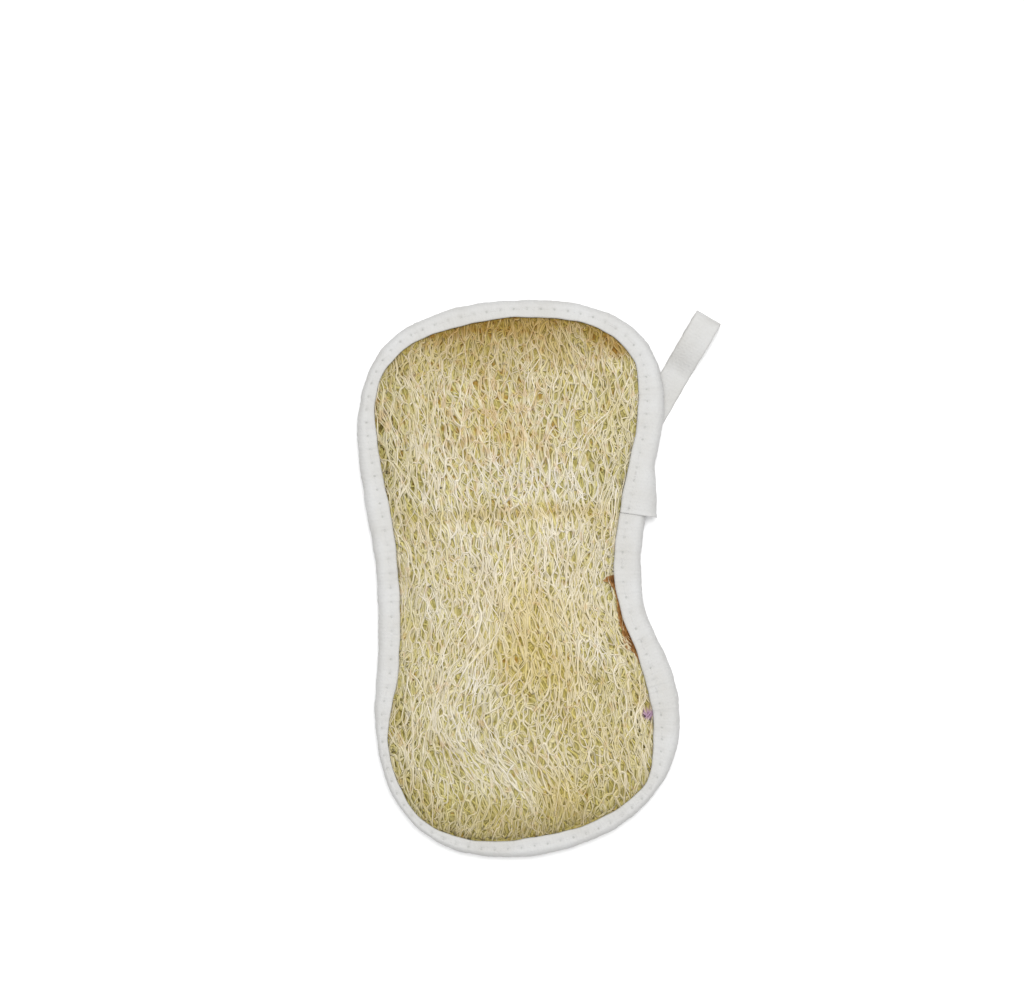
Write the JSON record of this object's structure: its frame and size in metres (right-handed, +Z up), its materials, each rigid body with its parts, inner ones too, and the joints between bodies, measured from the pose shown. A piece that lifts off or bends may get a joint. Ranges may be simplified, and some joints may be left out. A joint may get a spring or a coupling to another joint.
{
  "type": "natural loofah sponge",
  "caption": "Flat waisted bath pad of natural luffa fibre, bound round the edge with folded white cotton tape and fitted with a cotton hanging loop.",
  "frame": {"origin": "middle of the flat spot on the back that the pad rests on", "axes": "+Z up out of the washing face, +Y along the pad towards its end with the hanging loop, +X to the right seen from above"},
  "size_m": [0.131, 0.197, 0.0196],
  "materials": {
    "luffa": "dry, matte plant fibre",
    "cotton_tape": "matte woven cotton",
    "loop_tape": "matte woven cotton"
  },
  "bodies": {
    "root": {"luffa_mat": "luffa", "edge_binding": "cotton_tape", "hanging_loop": "loop_tape"}
  },
  "joints": []
}
